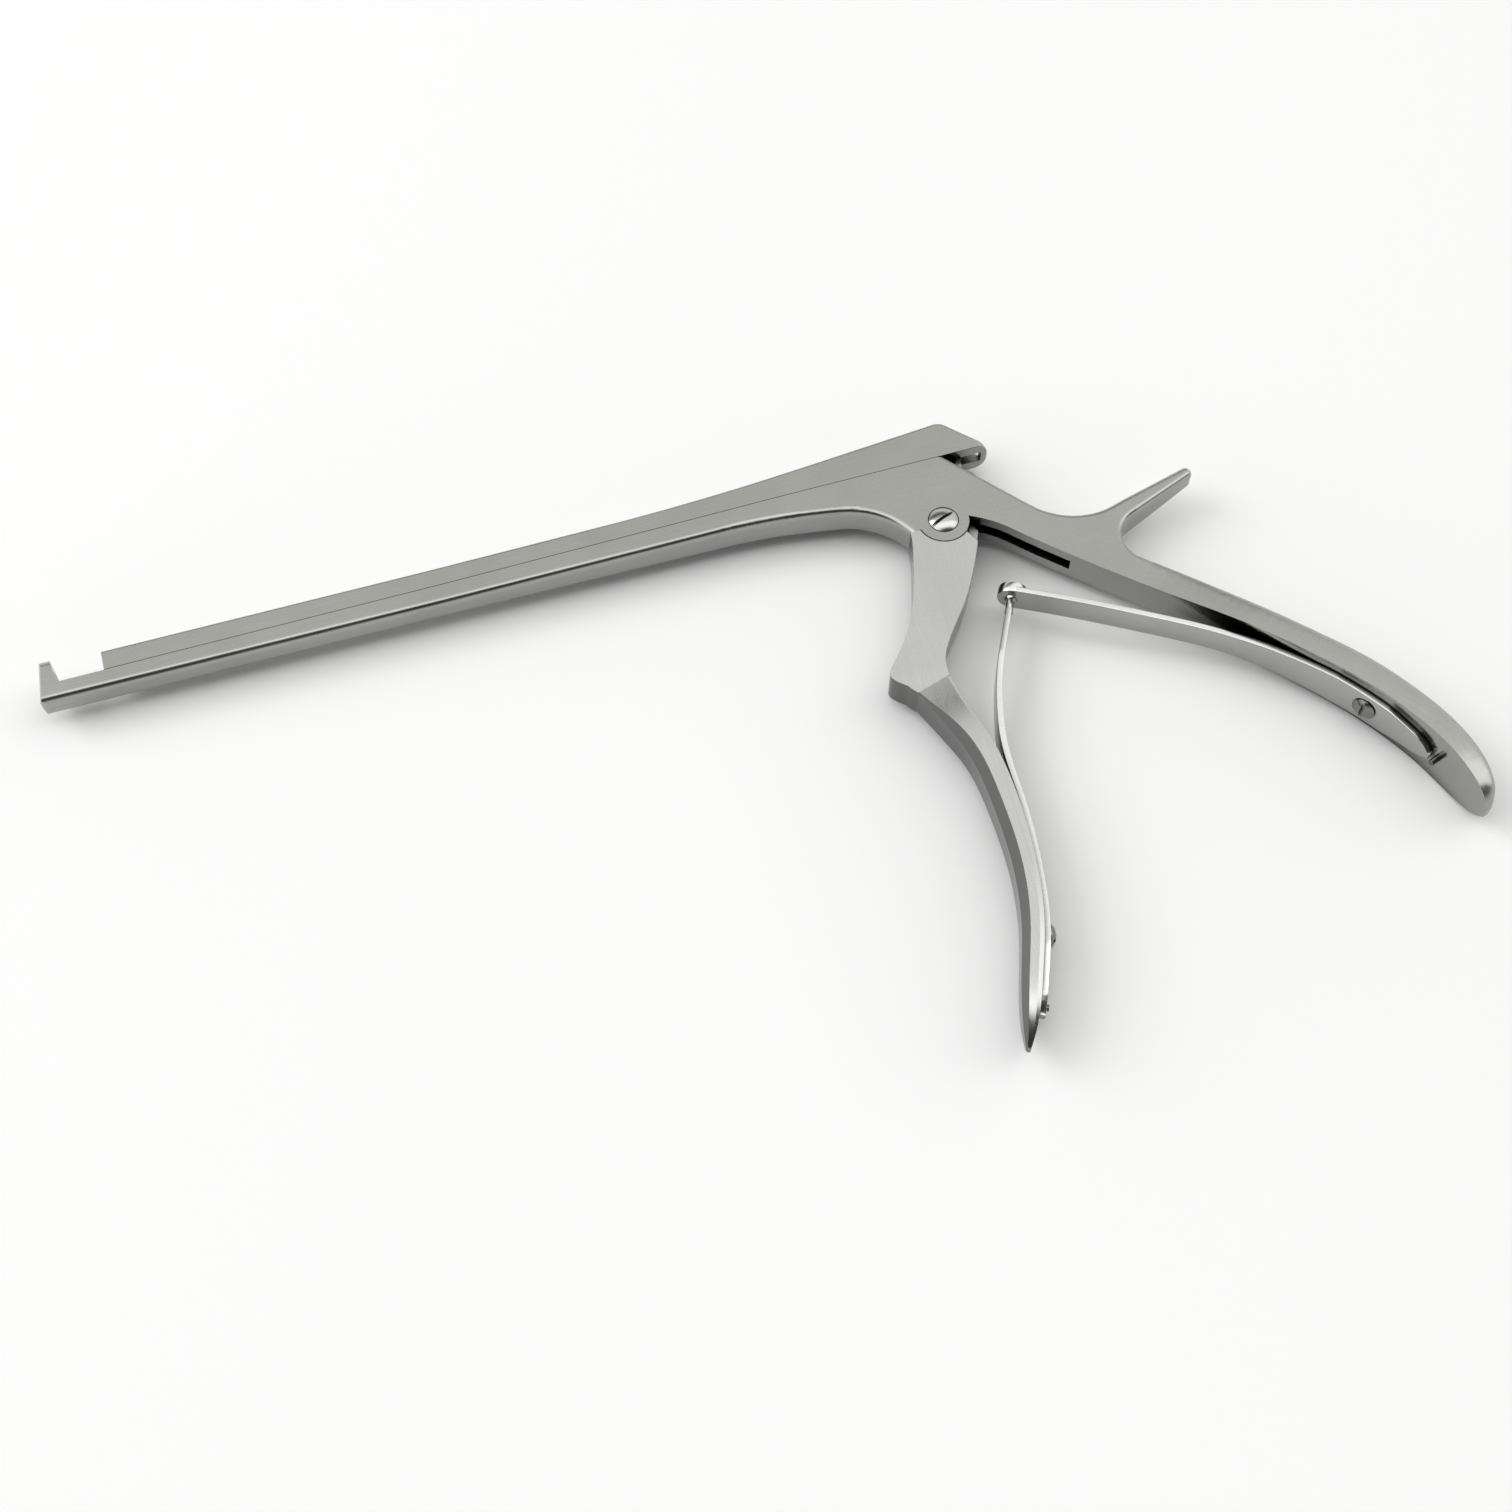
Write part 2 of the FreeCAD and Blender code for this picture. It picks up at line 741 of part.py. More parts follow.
def drive_pin_hole():
    return drive_pin(seat_gap)


def blade_edges():
    """Side outline of the trigger's blade, finger stop and neck."""
    back_start = grip_stations[0][0]
    front_start = grip_stations[0][1]
    shoulder_y = -shoulder_drop - shoulder_gap
    front = [(-shoulder_reach, shoulder_y), (-9.5, -8.0), (-12.9, -17.3), (-19.0, -27.5), (-22.7, -31.7)]
    stop = [(-22.7, -31.7), (-23.4, -33.3), (-22.7, -34.9), (-20.9, -36.6), front_start]
    back = [back_start, (-11.4, -32.6), (-9.6, -29.3), (-3.7, -21.9), (0.4, -15.8), (4.6, -8.1), blade_corner]
    return [
        spline(front, (-0.15, -1.0), (-0.66, -0.75)),
        spline(stop, (-0.66, -0.75), (0.62, -0.78)),
        line(front_start, back_start),
        spline(back, (0.0, 1.0), (0.42, 0.9)),
        line(blade_corner, (5.8, shoulder_y)),
        line((5.8, shoulder_y), (-shoulder_reach, shoulder_y)),
    ]


def turned(point, degrees):
    angle = math.radians(degrees)
    x = point[0] * math.cos(angle) - point[1] * math.sin(angle)
    y = point[0] * math.sin(angle) + point[1] * math.cos(angle)
    return (x, y)


def heel_bevel():
    """Takes the blade's upper rear corner down to the lever's thickness, so that it enters the slot."""
    inner = turned((boss_radius + 0.2, -0.6), -closing_angle)
    outer = turned((11.6, -5.2), -closing_angle)
    run = bevel_depth
    along = (vec(*outer) - vec(*inner)).normalize()
    side = vec(-along.y, along.x)
    start = vec(*inner) - along * 4.0 - side * bevel_clearance
    stop = vec(*outer) + along * 6.0 - side * bevel_clearance
    thin = lever_slot_width / 2 - tongue_gap
    wide = body_width / 2 + 0.5
    slope = run / (wide - thin)
    low = start - side * (slope * (wide - thin))
    profile = [
        start + vec(0, 0, thin),
        low + vec(0, 0, wide),
        start + side * 9.0 + vec(0, 0, wide),
        start + side * 9.0 + vec(0, 0, thin),
    ]
    wedge = Part.Face(Part.makePolygon(profile + profile[:1])).extrude(stop - start)
    return wedge, wedge.mirror(vec(0, 0), vec(0, 0, 1))


def lever_tongue():
    """Thin lever between the cheeks: hub, tapering arm and the fork round the drive pin."""
    lean = -lever_angle
    end = lever_reach() + lever_end_margin
    half = lever_width / 2
    foot = lever_foot_width / 2
    thickness = lever_slot_width - 2 * tongue_gap
    arm_outline = [
        line((-foot, 0.0), (-half, end - half)),
        arc((-half, end - half), (-half * 0.6, end - 0.25), (0.0, end)),
        arc((0.0, end), (half * 0.6, end - 0.25), (half, end - half)),
        line((half, end - half), (foot, 0.0)),
        line((foot, 0.0), (-foot, 0.0)),
    ]
    arm = slab(arm_outline, thickness)
    fork_width = drive_pin_diameter + 2 * fork_gap
    fork_bottom = (seam_height + drive_pin_height) - drive_pin_diameter / 2 - 2 * fork_gap
    fork = Part.makeBox(fork_width, 12.0, beyond, vec(-fork_width / 2, fork_bottom, -beyond / 2))
    arm = arm.cut(fork)
    arm.rotate(vec(0, 0), vec(0, 0, 1), lean)
    hub = Part.makeCylinder(boss_radius, thickness, vec(0, 0, -thickness / 2))
    neck = [(-5.4, 0.0), (-6.6, -7.5), (4.4, -8.3), (5.4, -1.5), (5.4, 0.0)]
    return arm.fuse(hub).fuse(polygon_slab(neck, thickness))


def trigger_solid():
    """Trigger: blade, finger stop, grip and the forked lever that drives the slider."""
    blade = slab(blade_edges(), body_width)
    clearance = boss_radius + boss_gap
    blade = blade.cut(Part.makeCylinder(clearance, 2 * beyond, vec(0, 0, -beyond)))
    for wedge in heel_bevel():
        blade = blade.cut(wedge)
    trigger = blade.fuse(trigger_grip()).fuse(lever_tongue())
    bore = screw_shank_diameter / 2 + running_gap
    trigger = trigger.cut(Part.makeCylinder(bore, 2 * beyond, vec(0, 0, -beyond)))
    for place in (front_screw_place(), front_pin_place()):
        trigger = trigger.cut(place)
    return trigger


def slotted_head(radius, seat, dome, slot_width, slot_depth):
    """Domed screw head on +Z with its underside at zero."""
    sphere_radius = (radius ** 2 + dome ** 2) / (2 * dome)
    collar = Part.makeCylinder(radius, seat + dome, vec(0, 0, 0))
    ball = Part.makeSphere(sphere_radius, vec(0, 0, seat + dome - sphere_radius), vec(0, 1, 0))
    slot_foot = vec(-2 * radius, -slot_width / 2, seat + dome - slot_depth)
    slot = Part.makeBox(4 * radius, slot_width, beyond, slot_foot)
    return collar.common(ball).cut(slot)


def pivot_screw_solid():
    """Slotted pivot screw: plain shank in the near cheek and lever, thread in the far cheek."""
    seat_z = body_width / 2 - screw_head_seat
    head = slotted_head(
        screw_head_diameter / 2, screw_head_seat, screw_head_dome, screw_slot_width, screw_slot_depth
    )
    head.rotate(vec(0, 0), vec(0, 0, 1), screw_slot_angle)
    head.translate(vec(0, 0, seat_z))
    far_cheek = -lever_slot_width / 2
    shank = Part.makeCylinder(screw_shank_diameter / 2, seat_z - far_cheek, vec(0, 0, far_cheek))
    thread = Part.makeCylinder(
        screw_thread_diameter / 2, body_width / 2 + far_cheek + 0.5, vec(0, 0, -body_width / 2)
    )
    return head.fuse(shank).fuse(thread)


# Rear leaf: centre points from the socket to the handle, then its seat with the gap below it
rear_leaf_free = [(8.0, -20.4), (20.4, -27.4), (29.2, -32.8), (37.3, -37.9), (44.0, -42.5), (49.8, -47.2)]
rear_leaf_seat = [
    ((57.2, -53.1), 0.35),
    ((61.6, -58.5), 0.12),
    ((64.9, -63.0), leaf_seat_gap),
    ((68.0, -67.6), leaf_seat_gap),
    ((70.7, -72.4), leaf_seat_gap),
    ((73.0, -77.2), leaf_seat_gap),
    ((74.3, -80.6), leaf_seat_gap),
]
rear_leaf_widths = [(0.0, 3.05), (45.0, 3.05), (66.0, 4.1), (78.0, 3.8), (86.5, 2.2)]
rear_screw_at = (67.1, -66.2)
rear_pin_at = (74.7, -81.9)
rear_split_at = (56.0, -52.4)

# Front leaf: centre points from the ball to the grip, then its seat with the gap below it
front_leaf_free = [(6.3, -23.2), (2.0, -31.0), (-2.2, -39.5), (-4.9, -46.8), (-6.6, -53.0)]
front_leaf_seat = [
    ((-9.1, -61.0), 0.85),
    ((-9.35, -66.0), 0.55),
    ((-9.8, -71.0), 0.35),
    ((-10.4, -77.0), 0.2),
    ((-11.5, -83.5), leaf_seat_gap),
    ((-12.9, -89.5), leaf_seat_gap),
    ((-14.7, -95.0), leaf_seat_gap),
    ((-16.9, -101.0), leaf_seat_gap),
    ((-19.3, -106.0), leaf_seat_gap),
    ((-21.0, -109.7), leaf_seat_gap),
]
front_leaf_widths = [(0.0, 0.85), (12.0, 2.4), (50.0, 3.7), (76.0, 3.9), (88.5, 2.0)]
front_screw_at = (-14.5, -94.6)
front_pin_at = (-20.2, -108.0)
front_split_at = (-8.2, -66.0)
ball_centre = (7.7, -20.6)


def leaf_centre_curve(free_points, seat_points, face, side):
    """Centre line of a leaf: free points, then points seated on a face of the handle."""
    centres = list(free_points)
    for point, gap in seat_points:
        foot, _, normal = curve_frame(face, point)
        centre = foot + normal * (side * (leaf_thickness / 2 + gap))
        centres.append((centre.x, centre.y))
    return spline_curve(centres)


def leaf_strip(curve):
    """Side outline of a leaf, one thickness wide, as a broad slab."""
    steps = 9
    first, last = curve.FirstParameter, curve.LastParameter
    upper = []
    lower = []
    for step in range(steps + 1):
        parameter = first + (last - first) * step / steps
        centre = curve.value(parameter)
        tangent = curve.tangent(parameter)[0]
        normal = vec(-tangent.y, tangent.x)
        up = centre + normal * (leaf_thickness / 2)
        down = centre - normal * (leaf_thickness / 2)
        upper.append((up.x, up.y))
        lower.append((down.x, down.y))
    edges = [spline(upper), spline(lower), line(upper[0], lower[0]), line(upper[-1], lower[-1])]
    return slab(edges, 2 * beyond)


def leaf_plan(curve, widths, end_radius):
    """The leaf's shape seen along its thickness: widths along the chord, with a rounded tail."""
    start = curve.value(curve.FirstParameter)
    end = curve.value(curve.LastParameter)
    chord = end - start
    length = chord.Length
    scale = length / widths[-1][0]
    side = [(distance * scale, half) for distance, half in widths]
    side[0] = (-end_radius, side[0][1])
    upper = [line(side[i - 1], side[i]) for i in range(1, len(side))]
    lower = [edge.mirror(vec(0, 0), vec(0, 1)) for edge in upper]
    tail_middle = (length + 0.2, 0.0)
    tail = arc((side[-1][0], side[-1][1]), tail_middle, (side[-1][0], -side[-1][1]))
    front = line(side[0], (side[0][0], -side[0][1]))
    plan = prism(upper + lower + [tail, front], -beyond, beyond)
    plan.rotate(vec(0, 0), vec(1, 0), 90)
    plan.rotate(vec(0, 0), vec(0, 0, 1), math.degrees(math.atan2(chord.y, chord.x)))
    plan.translate(start)
    return plan


def split_box(curve, point, toward_tail):
    """Half-space on one side of the flexure line, held back by half of the gap."""
    foot, tangent, _ = curve_frame(curve, point)
    direction = tangent if toward_tail else tangent * -1.0
    base = foot + direction * (leaf_split_gap / 2)
    box = Part.makeBox(3 * beyond, 2 * beyond, 2 * beyond, vec(0, -beyond, -beyond))
    box.rotate(vec(0, 0), vec(0, 0, 1), math.degrees(math.atan2(direction.y, direction.x)))
    box.translate(base)
    return box


rear_leaf_curve = leaf_centre_curve(rear_leaf_free, rear_leaf_seat, handle_face, -1)
front_leaf_curve = leaf_centre_curve(front_leaf_free, front_leaf_seat, grip_face, 1)


def spring_screw(face, point, side):
    """Domed, slotted screw through a leaf into the handle's face."""
    foot, _, normal = curve_frame(face, point)
    outward = normal * side
    leaf_outside = leaf_thickness + leaf_seat_gap
    head = slotted_head(
        spring_screw_head_diameter / 2,
        spring_screw_head_edge,
        spring_screw_head_height - spring_screw_head_edge,
        spring_screw_slot_width,
        spring_screw_slot_depth,
    )
    head.rotate(vec(0, 0), vec(0, 0, 1), spring_screw_slot_angle)
    head.translate(vec(0, 0, leaf_outside + leaf_seat_gap + leaf_bow))
    shank = Part.makeCylinder(
        spring_screw_shank_diameter / 2,
        spring_screw_depth + leaf_outside + 0.3,
        vec(0, 0, -spring_screw_depth),
    )
    screw = head.fuse(shank)
    turn = FreeCAD.Rotation(vec(0, 0, 1), outward)
    screw.Placement = FreeCAD.Placement(foot, turn).multiply(screw.Placement)
    return screw


def screw_hole(face, point, side, extra, reach):
    foot, _, normal = curve_frame(face, point)
    outward = normal * side
    return rod(foot, outward, spring_screw_shank_diameter / 2 + extra, -spring_screw_depth - extra, reach)


def leaf_pin(face, point, side, extra=0.0):
    """Short pin that keeps the leaf's tail in line."""
    foot, _, normal = curve_frame(face, point)
    outward = normal * side
    depth = leaf_pin_depth + extra
    return rod(foot, outward, leaf_pin_diameter / 2 + extra, -depth, depth + leaf_pin_stand)


def rear_screw_place():
    return screw_hole(handle_face, rear_screw_at, -1, seat_gap, beyond / 4)


def rear_pin_place():
    return leaf_pin(handle_face, rear_pin_at, -1, seat_gap)


def front_screw_place():
    return screw_hole(grip_face, front_screw_at, 1, seat_gap, beyond / 4)


def front_pin_place():
    return leaf_pin(grip_face, front_pin_at, 1, seat_gap)


def rear_spring():
    """Rear leaf with the socket at its free end, as clamped root and springing arm."""
    leaf = leaf_strip(rear_leaf_curve).common(leaf_plan(rear_leaf_curve, rear_leaf_widths, 2.0))
    start = rear_leaf_curve.value(rear_leaf_curve.FirstParameter)
    tangent = rear_leaf_curve.tangent(rear_leaf_curve.FirstParameter)[0]
    normal = vec(-tangent.y, tangent.x)
    rim = rod(start, normal, rear_leaf_end_radius, -leaf_thickness / 2, socket_rim_thickness)
    outer_edges = edges_where(rim, lambda middle, ends: on_rim(middle, start, normal))
    rim = rim.makeChamfer(socket_rim_chamfer, outer_edges)
    leaf = leaf.cut(rod(start, normal, rear_leaf_end_radius - 0.3, -beyond / 2, beyond))
    leaf = leaf.fuse(rim)
    leaf = leaf.cut(rod(start, normal, socket_diameter / 2, -leaf_thickness / 2 - 1.0, socket_depth + 1.0))
    leaf = leaf.cut(screw_hole(handle_face, rear_screw_at, -1, leaf_hole_gap, beyond / 4))
    leaf = leaf.cut(leaf_pin(handle_face, rear_pin_at, -1, leaf_hole_gap))
    root = leaf.common(split_box(rear_leaf_curve, rear_split_at, True))
    arm = leaf.common(split_box(rear_leaf_curve, rear_split_at, False))
    return root, arm


def on_rim(middle, start, normal):
    """True for edges on the socket's outer face."""
    return (middle - start).dot(normal) > socket_rim_thickness - leaf_thickness / 2 - 0.01


def front_spring():
    """Front leaf with the ball at its free end, as clamped root and springing arm."""
    leaf = leaf_strip(front_leaf_curve).common(leaf_plan(front_leaf_curve, front_leaf_widths, 0.0))
    start = front_leaf_curve.value(front_leaf_curve.FirstParameter)
    centre = vec(*ball_centre)
    neck_direction = (centre - start).normalize()
    neck = rod(start, neck_direction, neck_diameter / 2, -1.0, (centre - start).Length + 1.0)
    ball = Part.makeSphere(ball_diameter / 2, centre, neck_direction)
    leaf = leaf.fuse(neck).fuse(ball)
    leaf = leaf.cut(screw_hole(grip_face, front_screw_at, 1, leaf_hole_gap, beyond / 4))
    leaf = leaf.cut(leaf_pin(grip_face, front_pin_at, 1, leaf_hole_gap))
    root = leaf.common(split_box(front_leaf_curve, front_split_at, True))
    arm = leaf.common(split_box(front_leaf_curve, front_split_at, False))
    return root, arm


def all_pieces():
    rear_root, rear_arm = rear_spring()
    front_root, front_arm = front_spring()
    return {
        "frame": frame_solid(),
        "slider": slider_solid(),
        "slider_drive_pin": drive_pin(),
        "trigger": trigger_solid(),
        "pivot_screw": pivot_screw_solid(),
        "rear_spring_root": rear_root,
        "rear_spring_arm": rear_arm,
        "rear_spring_screw": spring_screw(handle_face, rear_screw_at, -1),
        "rear_spring_pin": leaf_pin(handle_face, rear_pin_at, -1),
        "front_spring_root": front_root,
        "front_spring_arm": front_arm,
        "front_spring_screw": spring_screw(grip_face, front_screw_at, 1),
        "front_spring_pin": leaf_pin(grip_face, front_pin_at, 1),
    }


def resting_offset(pieces):
    """Move that puts the origin below the middle of the whole instrument's box."""
    box = FreeCAD.BoundBox()
    for shape in pieces.values():
        box.add(shape.optimalBoundingBox(True, False))
    return vec(-box.Center.x, -box.Center.y, -box.ZMin)


def main():
    os.makedirs("parts", exist_ok=True)
    pieces = all_pieces()
    offset = resting_offset(pieces)
    print("pivot at", offset)
    for name, shape in pieces.items():
        shape.translate(offset)
        solids = shape.Solids
        print(name, "solids", len(solids), "volume", round(sum(solid.Volume for solid in solids), 2))
        kept = solids[0] if len(solids) == 1 else Part.makeCompound(solids)
        kept.exportStep("parts/" + name + ".step")


main()
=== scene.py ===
"""Looks of the bone rongeur: satin steel, brushed along each piece, and its leaf springs as whole strips."""
import math

import bmesh
import bpy
import numpy as np
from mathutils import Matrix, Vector


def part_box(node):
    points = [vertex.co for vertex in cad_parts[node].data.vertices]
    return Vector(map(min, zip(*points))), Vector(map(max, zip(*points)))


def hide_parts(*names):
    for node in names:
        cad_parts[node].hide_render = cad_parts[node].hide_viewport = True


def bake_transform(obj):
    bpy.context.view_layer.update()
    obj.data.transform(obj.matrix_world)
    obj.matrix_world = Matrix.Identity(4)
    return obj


MM = 0.001
BODY_HALF_WIDTH = 3.7

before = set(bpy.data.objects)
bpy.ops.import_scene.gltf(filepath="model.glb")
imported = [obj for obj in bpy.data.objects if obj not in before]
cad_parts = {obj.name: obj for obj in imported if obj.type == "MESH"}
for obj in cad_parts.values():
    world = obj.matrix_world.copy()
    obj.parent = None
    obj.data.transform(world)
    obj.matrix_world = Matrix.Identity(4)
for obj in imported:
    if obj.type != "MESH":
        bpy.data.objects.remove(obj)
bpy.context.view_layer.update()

low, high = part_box("pivot_screw")
PIVOT = Vector(((low.x + high.x) / 2, (low.y + high.y) / 2, low.z + BODY_HALF_WIDTH * MM))


def at(x, y, z=0.0):
    """A point given in millimetres from the pivot, in the row frame."""
    return PIVOT + Vector((x, y, z)) * MM


# Camera

CAMERA_AZIMUTH = math.radians(-17.39)
CAMERA_ELEVATION = math.radians(60.0)
CAMERA_POINT = (-54.8, -43.0, 3.65)
CAMERA_DISTANCE = 406.8
CAMERA_FOCAL_PX = 2070.0
IMAGE_PX = 1512.0
SENSOR = 36.0
NEAREST = 0.01
FARTHEST = 20.0


def add_camera():
    data = bpy.data.cameras.new("camera")
    data.sensor_width = SENSOR
    data.lens = SENSOR * CAMERA_FOCAL_PX / IMAGE_PX
    data.clip_start = NEAREST
    data.clip_end = FARTHEST
    camera = bpy.data.objects.new("camera", data)
    bpy.context.scene.collection.objects.link(camera)
    back = Vector((
        math.sin(CAMERA_AZIMUTH) * math.cos(CAMERA_ELEVATION),
        -math.cos(CAMERA_AZIMUTH) * math.cos(CAMERA_ELEVATION),
        math.sin(CAMERA_ELEVATION),
    ))
    camera.location = at(*CAMERA_POINT) + back * CAMERA_DISTANCE * MM
    camera.rotation_euler = back.to_track_quat("Z", "Y").to_euler()
    bpy.context.scene.camera = camera


# Light and floor: the sky's brightness is given across Y, from in front of the shaft to behind it

SKY_ACROSS = [
    (-1.0, 0.10), (-0.35, 0.08), (-0.20, 1.70), (0.12, 1.70),
    (0.25, 0.95), (0.62, 0.90), (0.76, 0.14), (1.0, 0.14),
]
SKY_WARMTH = 0.99
HORIZON_COLOUR = (0.9, 0.9, 0.9, 1.0)
HORIZON_HEIGHTS = (0.15, 0.55)
LAMP_TARGET = (-55.0, -45.0)
LAMP_OFFSET = (-1.8, 1.2, 1.6)
LAMP_SIZE = 1.6
LAMP_POWER = 22.0
FLOOR_HALF = 3.0
FLOOR_DROP = 0.0002
FLOOR_COLOUR = (0.96, 0.96, 0.96, 1.0)
FLOOR_ROUGHNESS = 0.9

# First input, second input and output of a Mix node, for each kind of value
MIX_SOCKETS = {"FLOAT": (2, 3, 0), "VECTOR": (4, 5, 1), "RGBA": (6, 7, 2)}


class Graph:
    """The nodes of a material or world, one call for each step."""

    def __init__(self, tree):
        self.nodes = tree.nodes
        self.links = tree.links

    def put(self, socket, value):
        """Sets a socket, or links it where the value is another node's output."""
        if isinstance(value, bpy.types.NodeSocket):
            self.links.new(value, socket)
        else:
            socket.default_value = value

    def maths(self, operation, *values):
        node = self.nodes.new("ShaderNodeMath")
        node.operation = operation
        for socket, value in zip(node.inputs, values):
            self.put(socket, value)
        return node.outputs[0]

    def vector_maths(self, operation, *values):
        node = self.nodes.new("ShaderNodeVectorMath")
        node.operation = operation
        for socket, value in zip(node.inputs, values):
            self.put(socket, value)
        return node.outputs["Value" if operation == "LENGTH" else "Vector"]

    def axes(self, vector):
        """The three coordinates of a vector."""
        node = self.nodes.new("ShaderNodeSeparateXYZ")
        self.put(node.inputs[0], vector)
        return node.outputs

    def ranged(self, value, source, target=(0.0, 1.0), smooth=False):
        """A value mapped from one range to another."""
        node = self.nodes.new("ShaderNodeMapRange")
        if smooth:
            node.interpolation_type = "SMOOTHSTEP"
        self.put(node.inputs["Value"], value)
        node.inputs["From Min"].default_value = source[0]
        node.inputs["From Max"].default_value = source[1]
        node.inputs["To Min"].default_value = target[0]
        node.inputs["To Max"].default_value = target[1]
        return node.outputs["Result"]

    def mixed(self, kind, factor, first, second, blend="MIX"):
        """The first value where the factor is 0, and the second, or the blend of both, where it is 1."""
        node = self.nodes.new("ShaderNodeMix")
        node.data_type = kind
        if kind == "RGBA":
            node.blend_type = blend
        self.put(node.inputs["Factor"], factor)
        first_socket, second_socket, output = MIX_SOCKETS[kind]
        self.put(node.inputs[first_socket], first)
        self.put(node.inputs[second_socket], second)
        return node.outputs[output]

    def multiplied(self, colour, factor):
        return self.mixed("RGBA", 1.0, colour, factor, blend="MULTIPLY")

    def noise(self, vector, scale, detail):
        node = self.nodes.new("ShaderNodeTexNoise")
        node.inputs["Scale"].default_value = scale
        node.inputs["Detail"].default_value = detail
        self.put(node.inputs["Vector"], vector)
        return node.outputs["Fac"]


def add_lamp():
    data = bpy.data.lights.new("left", "AREA")
    data.shape = "RECTANGLE"
    data.size = LAMP_SIZE
    data.size_y = LAMP_SIZE
    data.energy = LAMP_POWER
    lamp = bpy.data.objects.new("left", data)
    lamp.location = at(*LAMP_TARGET) + Vector(LAMP_OFFSET)
    lamp.rotation_euler = Vector(LAMP_OFFSET).to_track_quat("Z", "Y").to_euler()
    bpy.context.scene.collection.objects.link(lamp)


def add_world():
    """A studio sky: a softbox behind the shaft, a bright strip overhead, dark between, a pale horizon."""
    world = bpy.data.worlds.new("studio")
    world.use_nodes = True
    graph = Graph(world.node_tree)
    axes = graph.axes(graph.nodes.new("ShaderNodeTexCoord").outputs["Generated"])
    ramp = graph.nodes.new("ShaderNodeValToRGB")
    stops = ramp.color_ramp.elements
    while len(stops) < len(SKY_ACROSS):
        stops.new(0.5)
    for stop, (position, level) in zip(stops, SKY_ACROSS):
        stop.position = (position + 1.0) / 2.0
        stop.color = (level, level, level * SKY_WARMTH, 1.0)
    graph.put(ramp.inputs["Fac"], graph.ranged(axes["Y"], (-1.0, 1.0)))
    rise = graph.ranged(axes["Z"], HORIZON_HEIGHTS, smooth=True)
    sky = graph.mixed("RGBA", rise, HORIZON_COLOUR, ramp.outputs["Color"])
    graph.put(graph.nodes["Background"].inputs["Color"], sky)
    bpy.context.scene.world = world


def add_floor():
    mesh = bpy.data.meshes.new("floor")
    corners = [(-1, -1), (1, -1), (1, 1), (-1, 1)]
    mesh.from_pydata([(x * FLOOR_HALF, y * FLOOR_HALF, 0) for x, y in corners], [], [(0, 1, 2, 3)])
    floor = bpy.data.objects.new("floor", mesh)
    floor.location.z = -FLOOR_DROP
    bpy.context.scene.collection.objects.link(floor)
    material = bpy.data.materials.new("floor")
    material.use_nodes = True
    shader = material.node_tree.nodes["Principled BSDF"]
    shader.inputs["Base Color"].default_value = FLOOR_COLOUR
    shader.inputs["Roughness"].default_value = FLOOR_ROUGHNESS
    mesh.materials.append(material)


# Materials: lengths in millimetres, painted shadows of seams as (radius or height, half width)

HANDLE_GRAIN_START = (30.0, 0.0)
HANDLE_GRAIN_LENGTH = 4.0
HANDLE_GRAIN_CENTRE = (-20.0, -130.0)
HANDLE_GRAIN_RADIUS = 100.0
GRAIN_SCALE = (60.0, 6000.0, 2500.0)
CLOUD_SCALE = 60.0
NOISE_DETAIL = 3.0
NOISE_RANGE = (0.3, 0.7)
STREAK_SHADE = (0.96, 1.035)
CLOUD_SHADE = (0.95, 1.04)
STREAK_ROUGHNESS = (-0.04, 0.05)
STREAK_HEIGHT = 0.1
STREAK_BUMP = 0.014
FLAT_NORMALS = (0.72, 0.93)
# Crevice values give painted shade: the colour is darkened where ambient occlusion finds nearby surfaces, in
# crevices, recesses and gaps.
CREVICE_SAMPLES = 6
CREVICE_DEPTH = 5.0
CREVICE_OPENNESS = (0.35, 0.80)
CREVICE_PAINTED_SHADE = (0.06, 1.0)
SEAM_PAINTED_SHADOW = (0.10, 1.0)
SEAM_SOFTNESS = (0.6, 1.4)
BOSS_SEAM_PAINTED_SHADOW = (5.58, 0.14)
SCREW_SEAM_PAINTED_SHADOW = (3.14, 0.13)
SLIDER_SEAM_PAINTED_SHADOW = (16.04, 0.10)
ROUND_PIVOT = (1.0, 1.0, 0.0)
UP_FROM_PIVOT = (0.0, 1.0, 0.0)

# Side-face colours are painted shade: darker than the flats, they stand in for the dark surroundings that
# polished side faces mirror, so under other light the side faces look darker than real steel would.
FRAME_FLATS = (0.43, 0.44, 0.405)
FRAME_SIDES_PAINTED_SHADE = (0.34, 0.345, 0.325)
TRIGGER_FLATS = (0.60, 0.605, 0.59)
TRIGGER_SIDES_PAINTED_SHADE = (0.15, 0.155, 0.15)
SCREW_FLATS = (0.56, 0.56, 0.54)
SCREW_SIDES_PAINTED_SHADE = (0.20, 0.20, 0.195)
PIN_FLATS = (0.30, 0.30, 0.29)
PIN_SIDES_PAINTED_SHADE = (0.14, 0.14, 0.135)
# The springs' flats are painted brighter than steel: a painted highlight on the strips' near edges.
SPRING_FLATS_PAINTED_HIGHLIGHT = (0.88, 0.88, 0.87)
SPRING_SIDES_PAINTED_SHADE = (0.40, 0.40, 0.38)
SATIN = (0.26, 0.16)
SCREW_FINISH = (0.16, 0.12)
PIN_FINISH = (0.20, 0.15)
SPRING_FINISH = (0.18, 0.20)
ALONG_TRIGGER = (0.1, 1.0)
ACROSS_SCREW = (1.0, 0.4)
ALONG_SPRING = (0.8, -0.6)


def straight_grain(graph, spot, direction):
    """Coordinates with their first axis along the brushing."""
    turn = graph.nodes.new("ShaderNodeMapping")
    turn.inputs["Rotation"].default_value = (0.0, 0.0, -math.atan2(direction[1], direction[0]))
    graph.put(turn.inputs["Vector"], spot)
    return turn.outputs["Vector"]


